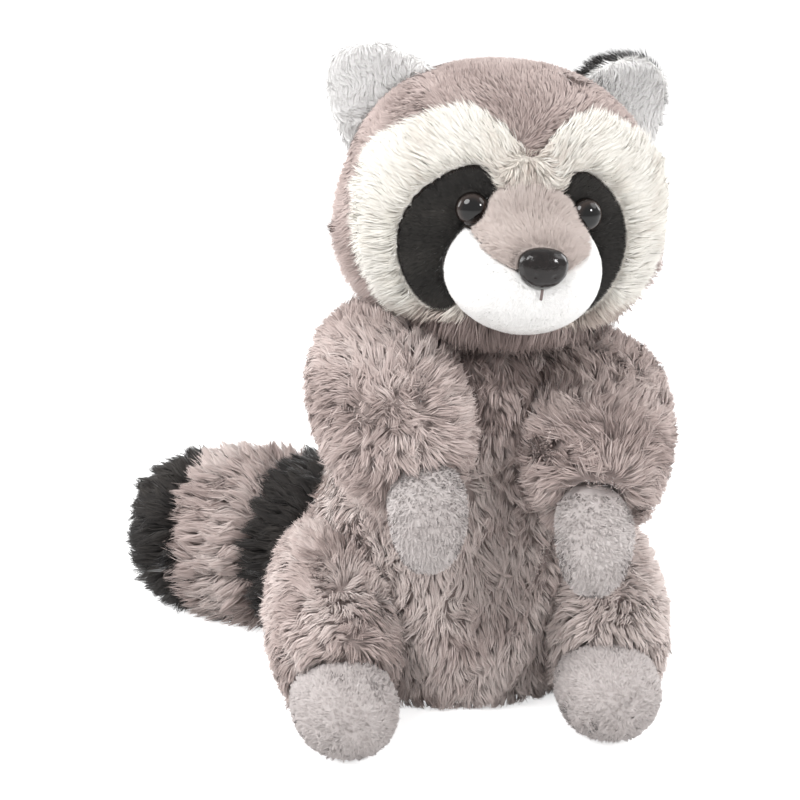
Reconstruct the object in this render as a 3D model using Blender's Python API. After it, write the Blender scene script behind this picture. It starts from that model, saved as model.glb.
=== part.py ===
"""A plush raccoon that sits upright: stuffed fabric pieces, safety eyes, a nose and a ringed tail.

Metres, +Z up. The animal faces -Y, its right side is at -X, and it sits on the plane Z = 0.
Every soft piece is the fabric with the filling behind it, at the middle of its pile.
"""
import math

import bmesh
import bpy
from mathutils import Matrix, Vector

# Fits
SEAM_GAP = 0.0003            # between two pieces that are sewn or pressed together
SLIVER = 0.00005             # edges that a cut leaves shorter than this are closed up
FAR = 0.12                   # past everything on the head, for the bodies that cut it

# Torso, from its seat to its neck
HIP_HEIGHT = 0.040           # where the torso is widest
HIP_X = -0.005               # middle of the hips
HIP_WIDTH = 0.118
HIP_DEPTH = 0.100
NECK_HEIGHT = 0.168
NECK_WIDTH = 0.086
NECK_DEPTH = 0.074
SEAT_BACKSET = 0.008         # the seat lies this far behind the neck
SEAT_DEPTH = 0.015           # the round end below the flat seat, which is cut away
TORSO_FULLNESS = 3.2         # 2 is an ellipsoid's end, more is boxier
LEAN = math.radians(4.5)     # the upper body leans to the animal's left

# Head, from its middle
HEAD_WIDTH = 0.121
HEAD_DEPTH = 0.100
HEAD_HEIGHT = 0.102
CROWN_RISE = 0.004           # the crown is this much higher than the jaw is low
HEAD_SQUARENESS = 2.2        # 2 is an ellipsoid, more is boxier
HEAD_RISE = 0.159            # head's middle above the hips
HEAD_FORWARD = 0.012         # head's middle before the torso's middle

# Fabric panels on the face
PANEL_RAISE = 0.001          # a panel's face above the head's
PANEL_DEPTH = 0.003          # its back below the head's
FACE_REACH = 0.029           # the seam down each side of the face, behind the head's front
FACE_EDGE_Y = FACE_REACH - HEAD_DEPTH / 2
BROW_NOTCH = 0.0245          # height of the grey point between the brows
BROW_TOP = 0.0370
CHEEK_FLOOR = -0.036
PATCH_INNER = 0.012          # an eye patch's edge nearest the nose
LEFT_PATCH_TUCK = 0.005      # the left patch is this much narrower at its widest

# Outlines on the face as (across, up) from its middle line, one half each
FACE_OUTLINE = ((0.009, 0.031), (0.022, BROW_TOP), (0.038, 0.032), (0.050, 0.024), (0.0705, 0.010),
                (0.0705, -0.018), (0.050, -0.030), (0.037, -0.037), (0.016, CHEEK_FLOOR))
PATCH_OUTLINE = ((0.013, 0.0165), (0.022, 0.0195), (0.032, 0.0145), (0.041, 0.005), (0.0445, -0.008),
                 (0.042, -0.020), (0.034, -0.032), (0.024, -0.0345), (0.018, -0.020), (PATCH_INNER, 0.0))
BRIDGE_OUTLINE = ((0.007, 0.0125), (0.014, 0.009), (0.017, 0.003), (0.0205, -0.0015), (0.018, -0.0075),
                  (0.0115, -0.0115), (0.004, -0.0135))

# Muzzle, from the head's middle
MUZZLE_WIDTH = 0.058
MUZZLE_HEIGHT = 0.047
MUZZLE_LENGTH = 0.032
MUZZLE_SINK = 0.004          # the muzzle's middle behind the head's front
MUZZLE_PLACE = (0.0, MUZZLE_SINK - HEAD_DEPTH / 2, -0.0165)
MOUTH_DROP = 0.010           # the mouth's seam below the muzzle's middle
BRIDGE_LENGTH = 0.052
BRIDGE_WIDTH = 0.045
BRIDGE_THICKNESS = 0.022
BRIDGE_STAND = 0.001         # the bridge's middle before the head's front
BRIDGE_PLACE = (0.0, -BRIDGE_STAND - HEAD_DEPTH / 2, -0.002)
BRIDGE_SLOPE = math.radians(36)   # from upright, leaning out to the nose

# Safety eyes and nose
EYE_DIAMETER = 0.0125
EYE_DOME = 0.005
EYE_SPACING = 0.042
EYE_HEIGHT = 0.005
EYE_ROOM = 0.010             # kept clear before an eye's seat
SHANK_DIAMETER = 0.004
EYE_SHANK = 0.012
SHANK_CHAMFER = 0.0006
NOSE_WIDTH = 0.0185
NOSE_HEIGHT = 0.0145
NOSE_THICKNESS = 0.012
NOSE_SINK = 0.0015           # the nose's middle behind the muzzle's front
NOSE_PLACE = (0.0, MUZZLE_PLACE[1] - MUZZLE_LENGTH + NOSE_SINK, -0.0105)
NOSE_FULLNESS = 2.3
NOSE_TAPER = 0.12            # share by which the nose is wider above than at its middle
NOSE_SHANK = 0.020
NOSTRIL_DIAMETER = 0.0036
NOSTRIL_SPACING = 0.0075
NOSTRIL_INSET = 0.0005       # a nostril's middle behind the nose's face
NOSTRIL_DROP = 0.0025        # and below the nose's middle
WASHER_DIAMETER = 0.014
WASHER_THICKNESS = 0.0018
WASHER_SAG = 0.0007               # how far the fabric curves back at an eye washer's rim
WASHER_INSET = 0.009              # the nose's washer behind the nose's middle

# Ears
EAR_WIDTH = 0.046
EAR_HEIGHT = 0.038
EAR_ROOT = 0.012                  # how deep the ear's root is buried
EAR_CUP = 0.009                   # depth of the hollow
EAR_OPENING = 0.7                 # share of that depth which the hollow loses towards the ear's top
EAR_SPREAD = 0.038                # the ear's root from the head's middle, to its side
EAR_BACK = 0.006
EAR_LIFT = 0.0285                 # the ear's root above the head's middle
EAR_TILT = math.radians(50)       # from upright, out to its side
EAR_TURN = math.radians(20)       # the ear's hollow looks out to its own side
EAR_FABRIC = 0.0026               # one layer with its padding

# Arms and paws, in the leaning body: middle lines from the shoulder down
ARM_WIDTH = 0.056
SHOULDER = (0.040, 0.002, 0.102)
ELBOW = (0.048, -0.036, 0.092)
WRIST = (0.029, -0.060, 0.054)
PAW_WIDTH = 0.031
PAW_THICKNESS = 0.025
PAW_ROOT = (0.031, -0.052, 0.064)
PAW_BEND = (0.031, -0.079, 0.062)
PAW_TIP = (0.030, -0.076, 0.030)
LEFT_ARM_DROP = 0.008             # the left arm hangs lower than the right
LEFT_PAW_OUT = 0.003              # and its paw points further out
ARM_FULLNESS = 2.6                # 2 is a round end, more is boxier
PAW_FULLNESS = 2.4

# Legs and feet: middle lines from the hip forward
LEG_WIDTH = 0.058
LEG_HEIGHT = 0.080
RIGHT_HIP = (-0.048, 0.030, 0.036)
RIGHT_KNEE = (-0.060, -0.012, 0.041)
RIGHT_ANKLE = (-0.061, -0.058, 0.018)
LEFT_HIP = (0.042, 0.030, 0.036)
LEFT_KNEE = (0.056, -0.012, 0.038)
LEFT_ANKLE = (0.042, -0.058, 0.018)
FOOT_WIDTH = 0.041
FOOT_HEIGHT = 0.037
FOOT_LENGTH = 0.058
FOOT_REACH = 0.030                # the toes before the leg's end
TOE_RISE = 0.0006                 # the toes' middle above the heel's
LEG_TAPER = 0.76                  # the leg's width at the ankle, as a share of the hip's
LEG_FULLNESS = 3.0
FOOT_FULLNESS = 2.3
REST_PRESS = 0.0025               # how far what rests is pressed flat

# Tail: middle line from the back round to the tip
TAIL_WIDTH = 0.067
TAIL_HEIGHT = 0.072
TAIL_ROOT = (-0.004, 0.026, 0.038)
TAIL_BEND = (-0.044, 0.084, 0.034)
TAIL_END = (-0.118, 0.134, 0.032)
TAIL_SEAMS = (0.0565, 0.0895, 0.1290)  # from the root, on the straight length from root to tip
TAIL_FULLNESS = 3.4

# Thread
THREAD_DIAMETER = 0.0011
STITCH_LENGTH = 0.0038
STITCH_POINTS = 5

# Facets round and along each form
BODY_FACETS = (26, 18)
MUZZLE_FACETS = (18, 12)
LIMB_FACETS = (16, 11)
TAIL_FACETS = (16, 26)
SMALL_FACETS = (14, 10)
PAW_FACETS = (12, 9)
NOSTRIL_FACETS = (8, 5)
TURNED_STEPS = 14
SHAFT_SIDES = 12
EAR_CELLS = 7
SMOOTH_ANGLE = math.radians(50)   # edges sharper than this stay sharp

# Colours of the fabrics and plastics, as they look (sRGB)
GREY_FUR = (0.62, 0.56, 0.545)
CREAM_FUR = (0.93, 0.915, 0.885)
BLACK_FUR = (0.17, 0.16, 0.155)
WHITE_PLUSH = (0.95, 0.945, 0.94)
BRIDGE_PLUSH = (0.77, 0.725, 0.705)
PAW_PLUSH = (0.735, 0.70, 0.69)
DARK_PLASTIC = (0.11, 0.075, 0.06)
WASHER_PLASTIC = (0.85, 0.85, 0.83)
THREAD = (0.33, 0.29, 0.28)

SIDES = (("right", -1), ("left", 1))


# Scene, materials and objects

def clear_scene():
    for thing in list(bpy.data.objects):
        bpy.data.objects.remove(thing, do_unlink=True)


def linear(channel):
    return channel / 12.92 if channel <= 0.04045 else ((channel + 0.055) / 1.055) ** 2.4


def material(name, colour, roughness):
    made = bpy.data.materials.new(name)
    made.use_nodes = True
    shader = made.node_tree.nodes["Principled BSDF"]
    shader.inputs["Base Color"].default_value = [*(linear(c) for c in colour), 1.0]
    shader.inputs["Roughness"].default_value = roughness
    shader.inputs["Metallic"].default_value = 0.0
    return made


def collection(name):
    made = bpy.data.collections.new(name)
    bpy.context.scene.collection.children.link(made)
    return made


def place(name, parent=None, location=(0, 0, 0), rotation=(0, 0, 0)):
    """An empty that other pieces are parented to."""
    empty = bpy.data.objects.new(name, None)
    empty.location = location
    empty.rotation_euler = rotation
    empty.parent = parent
    PIECES.objects.link(empty)
    return empty


def add_piece(name, bm, surface, parent=None):
    """One sub-part, named for its node."""
    made = add_mesh(name, bm, PIECES, parent)
    made.data.materials.append(surface)
    made.data.shade_smooth()
    made.data.set_sharp_from_angle(angle=SMOOTH_ANGLE)
    return made


def add_cutter(name, bm, parent=None):
    """A body that only cuts others: hidden, and no part of the model."""
    made = add_mesh(name, bm, CUTTERS, parent)
    made.hide_render = True
    made.display_type = "WIRE"
    return made


def add_mesh(name, bm, target, parent):
    mesh = bpy.data.meshes.new(name)
    bm.to_mesh(mesh)
    bm.free()
    made = bpy.data.objects.new(name, mesh)
    made.parent = parent
    target.objects.link(made)
    return made


def boolean(piece, cutter, operation):
    step = piece.modifiers.new(f"{operation.lower()} {cutter.name}", "BOOLEAN")
    step.operation = operation
    step.solver = "EXACT"
    step.object = cutter


def cut(piece, *cutters):
    for cutter in cutters:
        boolean(piece, cutter, "DIFFERENCE")


def keep_inside(piece, cutter):
    boolean(piece, cutter, "INTERSECT")


def join(piece, cutter):
    boolean(piece, cutter, "UNION")


def close_slivers():
    """Weld the tiny edges that cuts leave where two forms nearly touch."""
    for piece in PIECES.objects:
        if piece.modifiers:
            weld = piece.modifiers.new("close slivers", "WELD")
            weld.merge_threshold = SLIVER


# Forms: a unit sphere whose points are moved by a rule

def shaped_sphere(rule, facets):
    bm = bmesh.new()
    bmesh.ops.create_uvsphere(bm, u_segments=facets[0], v_segments=facets[1], radius=1.0)
    for vert in bm.verts:
        vert.co = rule(vert.co)
    bmesh.ops.recalc_face_normals(bm, faces=bm.faces)
    return bm


def ellipsoid(middle, halves, grow=0.0, squareness=2.0):
    def rule(point):
        size = sum(abs(c) ** squareness for c in point) ** (-1 / squareness)
        return Vector([m + c * size * (half + grow) for m, c, half in zip(middle, point, halves)])
    return rule


def curve_point(root, bend, tip, t):
    return (1 - t) ** 2 * Vector(root) + 2 * t * (1 - t) * Vector(bend) + t ** 2 * Vector(tip)


def curve_direction(root, bend, tip, t):
    return ((1 - t) * (Vector(bend) - Vector(root)) + t * (Vector(tip) - Vector(bend))).normalized()


def sausage(root, bend, tip, width, height, fullness, grow=0.0, taper=1.0):
    """A stuffed tube round a bent middle line, with round ends."""
    def rule(point):
        along = max(-1.0, min(1.0, point.z))
        reach = grow / (Vector(tip) - Vector(root)).length
        t = 0.5 + along * (0.5 + reach)
        round_off = (1 - abs(along) ** fullness) ** (1 / fullness)
        middle = curve_point(root, bend, tip, t)
        direction = curve_direction(root, bend, tip, t)
        level = Vector((0, 0, 1)) if abs(direction.z) < 0.9 else Vector((0, -1, 0))
        side = direction.cross(level).normalized()
        over = side.cross(direction)
        flat = Vector((point.x, point.y))
        turn = flat.normalized() if flat.length > 1e-6 else Vector((0, 0))
        narrowing = 1 + (taper - 1) * max(0.0, min(1.0, t))
        across = turn.x * side * (width / 2 * narrowing + grow)
        above = turn.y * over * (height / 2 * narrowing + grow)
        return middle + (across + above) * round_off
    return rule


def flatten_rest(bm, level=0.0):
    """Cut away what lies below the level, and close the flat face that rests."""
    geometry = bm.verts[:] + bm.edges[:] + bm.faces[:]
    made = bmesh.ops.bisect_plane(bm, geom=geometry, plane_co=(0, 0, level), plane_no=(0, 0, -1),
                                  clear_outer=True)
    edges = [item for item in made["geom_cut"] if isinstance(item, bmesh.types.BMEdge)]
    if edges:
        bmesh.ops.contextual_create(bm, geom=edges)
    return bm


def slice_between(bm, start, end):
    """Keep the stretch between two planes, each a point and the way along."""
    for (point, direction), outward in ((start, -1), (end, 1)):
        if point is None:
            continue
        geometry = bm.verts[:] + bm.edges[:] + bm.faces[:]
        made = bmesh.ops.bisect_plane(bm, geom=geometry, plane_co=point, plane_no=direction * outward,
                                      clear_outer=True)
        edges = [item for item in made["geom_cut"] if isinstance(item, bmesh.types.BMEdge)]
        bmesh.ops.contextual_create(bm, geom=edges)
    bmesh.ops.recalc_face_normals(bm, faces=bm.faces)
    return bm


def cylinder(radius, start, end):
    """A cylinder along Y, from one place to another."""
    bm = bmesh.new()
    turn = Matrix.Translation((0, (start + end) / 2, 0)) @ Matrix.Rotation(math.pi / 2, 4, "X")
    bmesh.ops.create_cone(bm, cap_ends=True, segments=SHAFT_SIDES, radius1=radius, radius2=radius,
                          depth=abs(end - start), matrix=turn)
    return bm


def box(low, high):
    bm = bmesh.new()
    size = Vector(high) - Vector(low)
    middle = (Vector(high) + Vector(low)) / 2
    bmesh.ops.create_cube(bm, size=1.0, matrix=Matrix.Translation(middle) @ Matrix.Diagonal((*size, 1)))
    return bm


def smooth_outline(corners, grow=0.0, steps=3):
    """A closed smooth line through the corners, moved out by grow."""
    count = len(corners)
    line = []
    for i in range(count):
        before, start, end, after = (Vector(corners[(i + k) % count]) for k in (-1, 0, 1, 2))
        for k in range(steps):
            t = k / steps
            line.append(0.5 * (2 * start + (end - before) * t
                               + (2 * before - 5 * start + 4 * end - after) * t ** 2
                               + (3 * start - before - 3 * end + after) * t ** 3))
    area = sum(a.x * b.y - b.x * a.y for a, b in zip(line, line[1:] + line[:1]))
    outward = 1 if area > 0 else -1
    moved = []
    for before, point, after in zip(line[-1:] + line[:-1], line, line[1:] + line[:1]):
        along = (after - before).normalized()
        moved.append(point + outward * grow * Vector((along.y, -along.x)))
    return moved


def outline_cutter(name, corners, parent, grow=0.0, back=0.0):
    """A flat outline seen from the front, drawn in X and Z and extruded along Y."""
    flat = bpy.data.curves.new(name, "CURVE")
    flat.dimensions = "2D"
    flat.fill_mode = "BOTH"
    flat.extrude = (back + FAR) / 2
    line = smooth_outline(corners, grow)
    spline = flat.splines.new("POLY")
    spline.points.add(len(line) - 1)
    for target, point in zip(spline.points, line):
        target.co = (point.x, point.y, 0, 1)
    spline.use_cyclic_u = True
    drawn = bpy.data.objects.new(name, flat)
    CUTTERS.objects.link(drawn)
    bpy.context.view_layer.update()
    mesh = bpy.data.meshes.new_from_object(drawn.evaluated_get(bpy.context.evaluated_depsgraph_get()))
    bpy.data.objects.remove(drawn)
    bm = bmesh.new()
    bm.from_mesh(mesh)
    bmesh.ops.remove_doubles(bm, verts=bm.verts, dist=1e-6)
    turn = Matrix.Translation((0, (back - FAR) / 2, 0)) @ Matrix.Rotation(math.pi / 2, 4, "X")
    bmesh.ops.transform(bm, matrix=turn, verts=bm.verts)
    bmesh.ops.recalc_face_normals(bm, faces=bm.faces)
    return add_cutter(name, bm, parent)


# Torso

def torso_form(grow=0.0):
    """A pear: wide at the hips, narrow at the neck, leaning to the left."""
    def rule(point):
        share = (point.z + 1) / 2
        height = -SEAT_DEPTH - grow + share * (NECK_HEIGHT + SEAT_DEPTH + 2 * grow)
        rise = max(0.0, (height - HIP_HEIGHT) / (NECK_HEIGHT - HIP_HEIGHT))
        ease = rise * rise * (3 - 2 * rise)
        half_width = (HIP_WIDTH + (NECK_WIDTH - HIP_WIDTH) * ease) / 2 + grow
        half_depth = (HIP_DEPTH + (NECK_DEPTH - HIP_DEPTH) * ease) / 2 + grow
        round_off = (1 - abs(point.z) ** TORSO_FULLNESS) ** (1 / TORSO_FULLNESS)
        flat = Vector((point.x, point.y))
        turn = flat.normalized() if flat.length > 1e-6 else Vector((0, 0))
        lean = max(0.0, height - HIP_HEIGHT) * math.tan(LEAN)
        back = SEAT_BACKSET * (1 - ease)
        return Vector((HIP_X + lean + turn.x * half_width * round_off,
                       back + turn.y * half_depth * round_off, height))
    return rule


def make_torso(fur, head_cutter):
    torso = add_piece("torso", flatten_rest(shaped_sphere(torso_form(), BODY_FACETS)), fur)
    cut(torso, head_cutter)
    return torso


# Head and the panels of the face

def head_halves(above):
    """Half the head's width, depth and height, above or below its middle."""
    rise = CROWN_RISE if above else 0.0
    return HEAD_WIDTH / 2, HEAD_DEPTH / 2, HEAD_HEIGHT / 2 + rise


def head_form(grow=0.0):
    jaw, crown = (ellipsoid((0, 0, 0), head_halves(above), grow, HEAD_SQUARENESS)
                  for above in (False, True))

    def rule(point):
        return crown(point) if point.z > 0 else jaw(point)
    return shaped_sphere(rule, BODY_FACETS)


def muzzle_form(grow=0.0):
    halves = (MUZZLE_WIDTH / 2, MUZZLE_LENGTH, MUZZLE_HEIGHT / 2)
    return shaped_sphere(ellipsoid(MUZZLE_PLACE, halves, grow), MUZZLE_FACETS)


def bridge_form(grow=0.0):
    halves = (BRIDGE_WIDTH / 2, BRIDGE_THICKNESS / 2, BRIDGE_LENGTH / 2)
    bm = shaped_sphere(ellipsoid((0, 0, 0), halves, grow), SMALL_FACETS)
    slope = Matrix.Translation(BRIDGE_PLACE) @ Matrix.Rotation(-BRIDGE_SLOPE, 4, "X")
    bmesh.ops.transform(bm, matrix=slope, verts=bm.verts)
    return bm


def both_halves(half):
    """An outline's half and its mirror image, in one closed round."""
    return [*half, *((-across, up) for across, up in reversed(half))]


def face_corners():
    """The outer seam of both cream panels, from the brow round the left cheek to the chin and back."""
    return [(0.0, BROW_NOTCH), *both_halves(FACE_OUTLINE)]


def patch_corners(side):
    """The black drop around and under one eye."""
    widest = max(across for across, _ in PATCH_OUTLINE) - PATCH_INNER
    narrowing = 1 - LEFT_PATCH_TUCK / widest if side > 0 else 1
    return [(side * (PATCH_INNER + (across - PATCH_INNER) * narrowing), up)
            for across, up in PATCH_OUTLINE]


def make_head(fur, spot, tools):
    head = add_piece("head", head_form(), fur, spot)
    cut(head, tools["face recess"])
    for name, _ in SIDES:
        cut(head, tools[f"eye pocket {name}"])
    return head


def face_tools(spot):
    """The bodies that divide the face, in the head's own frame."""
    tools = {
        "under panels": add_cutter("under panels", head_form(-PANEL_DEPTH), spot),
        "muzzle clearance": add_cutter("muzzle clearance", muzzle_form(SEAM_GAP), spot),
        "bridge outline": outline_cutter("bridge outline", both_halves(BRIDGE_OUTLINE), spot),
        "bridge clearance": outline_cutter("bridge clearance", both_halves(BRIDGE_OUTLINE), spot,
                                           grow=SEAM_GAP),
        "before the seam": add_cutter("before the seam", box((-FAR, -FAR, -FAR),
                                                             (FAR, FACE_EDGE_Y, FAR)), spot),
        "face outline": outline_cutter("face outline", face_corners(), spot, back=FACE_EDGE_Y),
    }
    floor = add_cutter("recess floor", head_form(-PANEL_DEPTH - SEAM_GAP), spot)
    recess = outline_cutter("face recess", face_corners(), spot, grow=SEAM_GAP,
                            back=FACE_EDGE_Y + SEAM_GAP)
    join(recess, tools["muzzle clearance"])
    cut(recess, floor)
    tools["face recess"] = recess
    for name, side in SIDES:
        tools[f"patch {name}"] = outline_cutter(f"patch {name}", patch_corners(side), spot,
                                                back=FACE_EDGE_Y)
        tools[f"patch clearance {name}"] = outline_cutter(f"patch clearance {name}",
                                                          patch_corners(side), spot, grow=SEAM_GAP,
                                                          back=FACE_EDGE_Y + SEAM_GAP)
        low, high = (-FAR, -SEAM_GAP / 2) if side < 0 else (SEAM_GAP / 2, FAR)
        tools[f"half {name}"] = add_cutter(f"half {name}", box((low, -FAR, -FAR), (high, FAR, FAR)), spot)
        eye_spot = tools[f"eye place {name}"] = eye_place(name, side, spot)
        room = cylinder(EYE_DIAMETER / 2 + SEAM_GAP, -EYE_ROOM, PANEL_RAISE)
        tools[f"eye room {name}"] = add_cutter(f"eye room {name}", room, eye_spot)
        pocket = cylinder(WASHER_DIAMETER / 2 + 2 * SEAM_GAP, PANEL_RAISE + PANEL_DEPTH / 2,
                          washer_front() + WASHER_THICKNESS + SEAM_GAP)
        tools[f"eye pocket {name}"] = add_cutter(f"eye pocket {name}", pocket, eye_spot)
        shaft = add_cutter(f"eye shaft {name}",
                           cylinder(SHANK_DIAMETER / 2 + SEAM_GAP, -EYE_DOME,
                                    EYE_SHANK + 2 * SEAM_GAP),
                           eye_spot)
        join(tools[f"eye pocket {name}"], shaft)
        tools[f"eye shaft {name}"] = shaft
    return tools


def head_clearance(spot, tools):
    """What touches the head is cut to it, and to the raised panels in front."""
    panels = add_cutter("panels clearance", head_form(PANEL_RAISE + SEAM_GAP), spot)
    keep_inside(panels, tools["before the seam"])
    head_cutter = add_cutter("head clearance", head_form(SEAM_GAP), spot)
    join(head_cutter, panels)
    return head_cutter


def make_face_panels(spot, tools, cream, black):
    for name, side in SIDES:
        panel = add_piece(f"face_panel_{name}", head_form(PANEL_RAISE), cream, spot)
        keep_inside(panel, tools["face outline"])
        keep_inside(panel, tools[f"half {name}"])
        cut(panel, tools["under panels"], tools[f"patch clearance {name}"],
            tools["muzzle clearance"], tools["bridge clearance"])
        patch = add_piece(f"eye_patch_{name}", head_form(PANEL_RAISE), black, spot)
        keep_inside(patch, tools[f"patch {name}"])
        cut(patch, tools["under panels"], tools["muzzle clearance"], tools["bridge clearance"],
            tools[f"eye shaft {name}"], tools[f"eye room {name}"])


def make_muzzle(spot, tools, white, grey):
    mouth = MUZZLE_PLACE[2] - MOUTH_DROP
    above = add_cutter("above the mouth", box((-FAR, -FAR, mouth + SEAM_GAP / 2), (FAR, FAR, FAR)), spot)
    below = add_cutter("below the mouth", box((-FAR, -FAR, -FAR), (FAR, FAR, mouth - SEAM_GAP / 2)), spot)
    nose_room = nose_clearance(spot)
    for name, _ in SIDES:
        cheek = add_piece(f"muzzle_cheek_{name}", muzzle_form(), white, spot)
        keep_inside(cheek, tools[f"half {name}"])
        keep_inside(cheek, above)
        cut(cheek, tools["under panels"], tools["bridge clearance"], tools[f"eye room {name}"],
            *nose_room)
    chin = add_piece("chin_panel", muzzle_form(), white, spot)
    keep_inside(chin, below)
    cut(chin, tools["under panels"], *nose_room)
    bridge = add_piece("nose_bridge", bridge_form(), grey, spot)
    join(bridge, add_cutter("muzzle body", muzzle_form(), spot))
    keep_inside(bridge, tools["bridge outline"])
    cut(bridge, tools["under panels"], *nose_room)
    for name, _ in SIDES:
        cut(bridge, tools[f"eye room {name}"])


# Eyes and nose

def washer_front():
    """How far an eye's washer lies behind the eye's seat, pressed on the patch's back."""
    return PANEL_RAISE + PANEL_DEPTH + SEAM_GAP + WASHER_SAG


def eye_place(name, side, spot):
    """An empty on the panel's face under the eye, its +Y square into the head."""
    halves = head_halves(EYE_HEIGHT > 0)
    across, up = EYE_SPACING / 2 / halves[0], EYE_HEIGHT / halves[2]
    depth = (1 - across ** HEAD_SQUARENESS - up ** HEAD_SQUARENESS) ** (1 / HEAD_SQUARENESS)
    slopes = [share ** (HEAD_SQUARENESS - 1) / half for share, half in zip((across, depth, up), halves)]
    outward = Vector((side * slopes[0], -slopes[1], slopes[2])).normalized()
    seat = Vector((side * EYE_SPACING / 2, -depth * halves[1], EYE_HEIGHT)) + outward * PANEL_RAISE
    turn = (-outward).to_track_quat("Y", "Z").to_euler()
    return place(f"eye place {name}", spot, seat, turn)


def make_eye(name, eye_spot, plastic):
    """A turned dome with its shank, seated on the eye patch."""
    radius = EYE_DIAMETER / 2
    steps = 4
    profile = [(radius * math.cos(a), -SEAM_GAP - EYE_DOME * math.sin(a))
               for a in (math.pi / 2 * k / steps for k in range(steps, 0, -1))]
    profile[0] = (0.0, profile[0][1])
    shank = SHANK_DIAMETER / 2
    profile += [(radius, -SEAM_GAP), (shank, -SEAM_GAP), (shank, EYE_SHANK - SHANK_CHAMFER),
                (shank - SHANK_CHAMFER, EYE_SHANK), (0.0, EYE_SHANK)]
    return turned(f"eye_{name}", profile, plastic, eye_spot)


def make_washer(name, spot, start, plastic):
    """A flat ring pressed onto a shank."""
    inner = SHANK_DIAMETER / 2 + SEAM_GAP
    outer = WASHER_DIAMETER / 2
    end = start + WASHER_THICKNESS
    profile = [(inner, start), (outer, start), (outer, end), (inner, end), (inner, start)]
    return turned(name, profile, plastic, spot)


def turned(name, profile, surface, parent):
    """A profile of (radius, place along Y), turned about Y."""
    bm = bmesh.new()
    verts = [bm.verts.new((radius, along, 0)) for radius, along in profile]
    edges = [bm.edges.new(pair) for pair in zip(verts, verts[1:])]
    bmesh.ops.spin(bm, geom=verts + edges, cent=(0, 0, 0), axis=(0, 1, 0), angle=2 * math.pi,
                   steps=TURNED_STEPS, use_merge=True)
    bmesh.ops.remove_doubles(bm, verts=bm.verts, dist=1e-6)
    bmesh.ops.recalc_face_normals(bm, faces=bm.faces)
    return add_piece(name, bm, surface, parent)


def nose_form(grow=0.0):
    """Wider above than below, like a rounded triangle."""
    base = ellipsoid((0, 0, 0), (NOSE_WIDTH / 2, NOSE_THICKNESS / 2, NOSE_HEIGHT / 2), grow,
                     NOSE_FULLNESS)

    def rule(point):
        moved = base(point)
        moved.x *= 1 + NOSE_TAPER * point.z
        return moved + Vector(NOSE_PLACE)
    return shaped_sphere(rule, SMALL_FACETS)


def nose_clearance(spot):
    """Room in the muzzle for the nose, its shank and its washer."""
    seat = add_cutter("nose seat", nose_form(SEAM_GAP), spot)
    spot_inside = place("nose place", spot, NOSE_PLACE)
    bore = add_cutter("nose bore", cylinder(SHANK_DIAMETER / 2 + SEAM_GAP, 0, NOSE_SHANK + SEAM_GAP),
                      spot_inside)
    pocket = add_cutter("nose pocket", cylinder(WASHER_DIAMETER / 2 + SEAM_GAP, WASHER_INSET - SEAM_GAP,
                                                WASHER_INSET + WASHER_THICKNESS + SEAM_GAP), spot_inside)
    return seat, bore, pocket


def make_nose(spot, plastic, washer_plastic):
    nose = add_piece("nose", nose_form(), plastic, spot)
    spot_inside = place("nose middle", spot, NOSE_PLACE)
    join(nose, add_cutter("nose shank", cylinder(SHANK_DIAMETER / 2, 0, NOSE_SHANK), spot_inside))
    for name, side in SIDES:
        middle = Vector(NOSE_PLACE) + Vector((side * NOSTRIL_SPACING / 2,
                                              NOSTRIL_INSET - NOSE_THICKNESS / 2, -NOSTRIL_DROP))
        dent = shaped_sphere(ellipsoid(middle, (NOSTRIL_DIAMETER / 2, NOSTRIL_DIAMETER / 3,
                                                NOSTRIL_DIAMETER / 3)), NOSTRIL_FACETS)
        cut(nose, add_cutter(f"nostril {name}", dent, spot))
    make_washer("nose_washer", spot_inside, WASHER_INSET, washer_plastic)


def make_mouth_stitch(spot, thread):
    """One dark stitch on the seam between the cheeks, from the nose down to the mouth."""
    top = NOSE_PLACE[2] - NOSE_HEIGHT / 2 - SEAM_GAP
    lift = THREAD_DIAMETER / 2 + SEAM_GAP
    points = []
    for k in range(STITCH_POINTS):
        height = top - STITCH_LENGTH * k / (STITCH_POINTS - 1)
        up = (height - MUZZLE_PLACE[2]) / (MUZZLE_HEIGHT / 2)
        points.append(Vector((0, MUZZLE_PLACE[1] - (MUZZLE_LENGTH + lift) * math.sqrt(1 - up * up),
                              height)))
    line = bpy.data.curves.new("stitch line", "CURVE")
    line.dimensions = "3D"
    line.bevel_depth = THREAD_DIAMETER / 2
    line.bevel_resolution = 2
    line.use_fill_caps = True
    spline = line.splines.new("POLY")
    spline.points.add(len(points) - 1)
    for target, point in zip(spline.points, points):
        target.co = (*point, 1)
    stitch = bpy.data.objects.new("mouth_stitch", line)
    line.materials.append(thread)
    stitch.parent = spot
    PIECES.objects.link(stitch)


# Ears

def make_ear(name, side, spot, head_cutter, white, black):
    """Two cupped layers, sewn together at the rim and into the head at the root."""
    turn = (0, side * EAR_TILT, side * EAR_TURN)
    root = place(f"ear place {name}", spot, (side * EAR_SPREAD, EAR_BACK, EAR_LIFT), turn)
    for layer, offset, surface in (("front", -EAR_FABRIC - SEAM_GAP, white), ("back", 0.0, black)):
        ear = add_piece(f"ear_{layer}_{name}", ear_layer(offset), surface, root)
        cut(ear, head_cutter)


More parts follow.
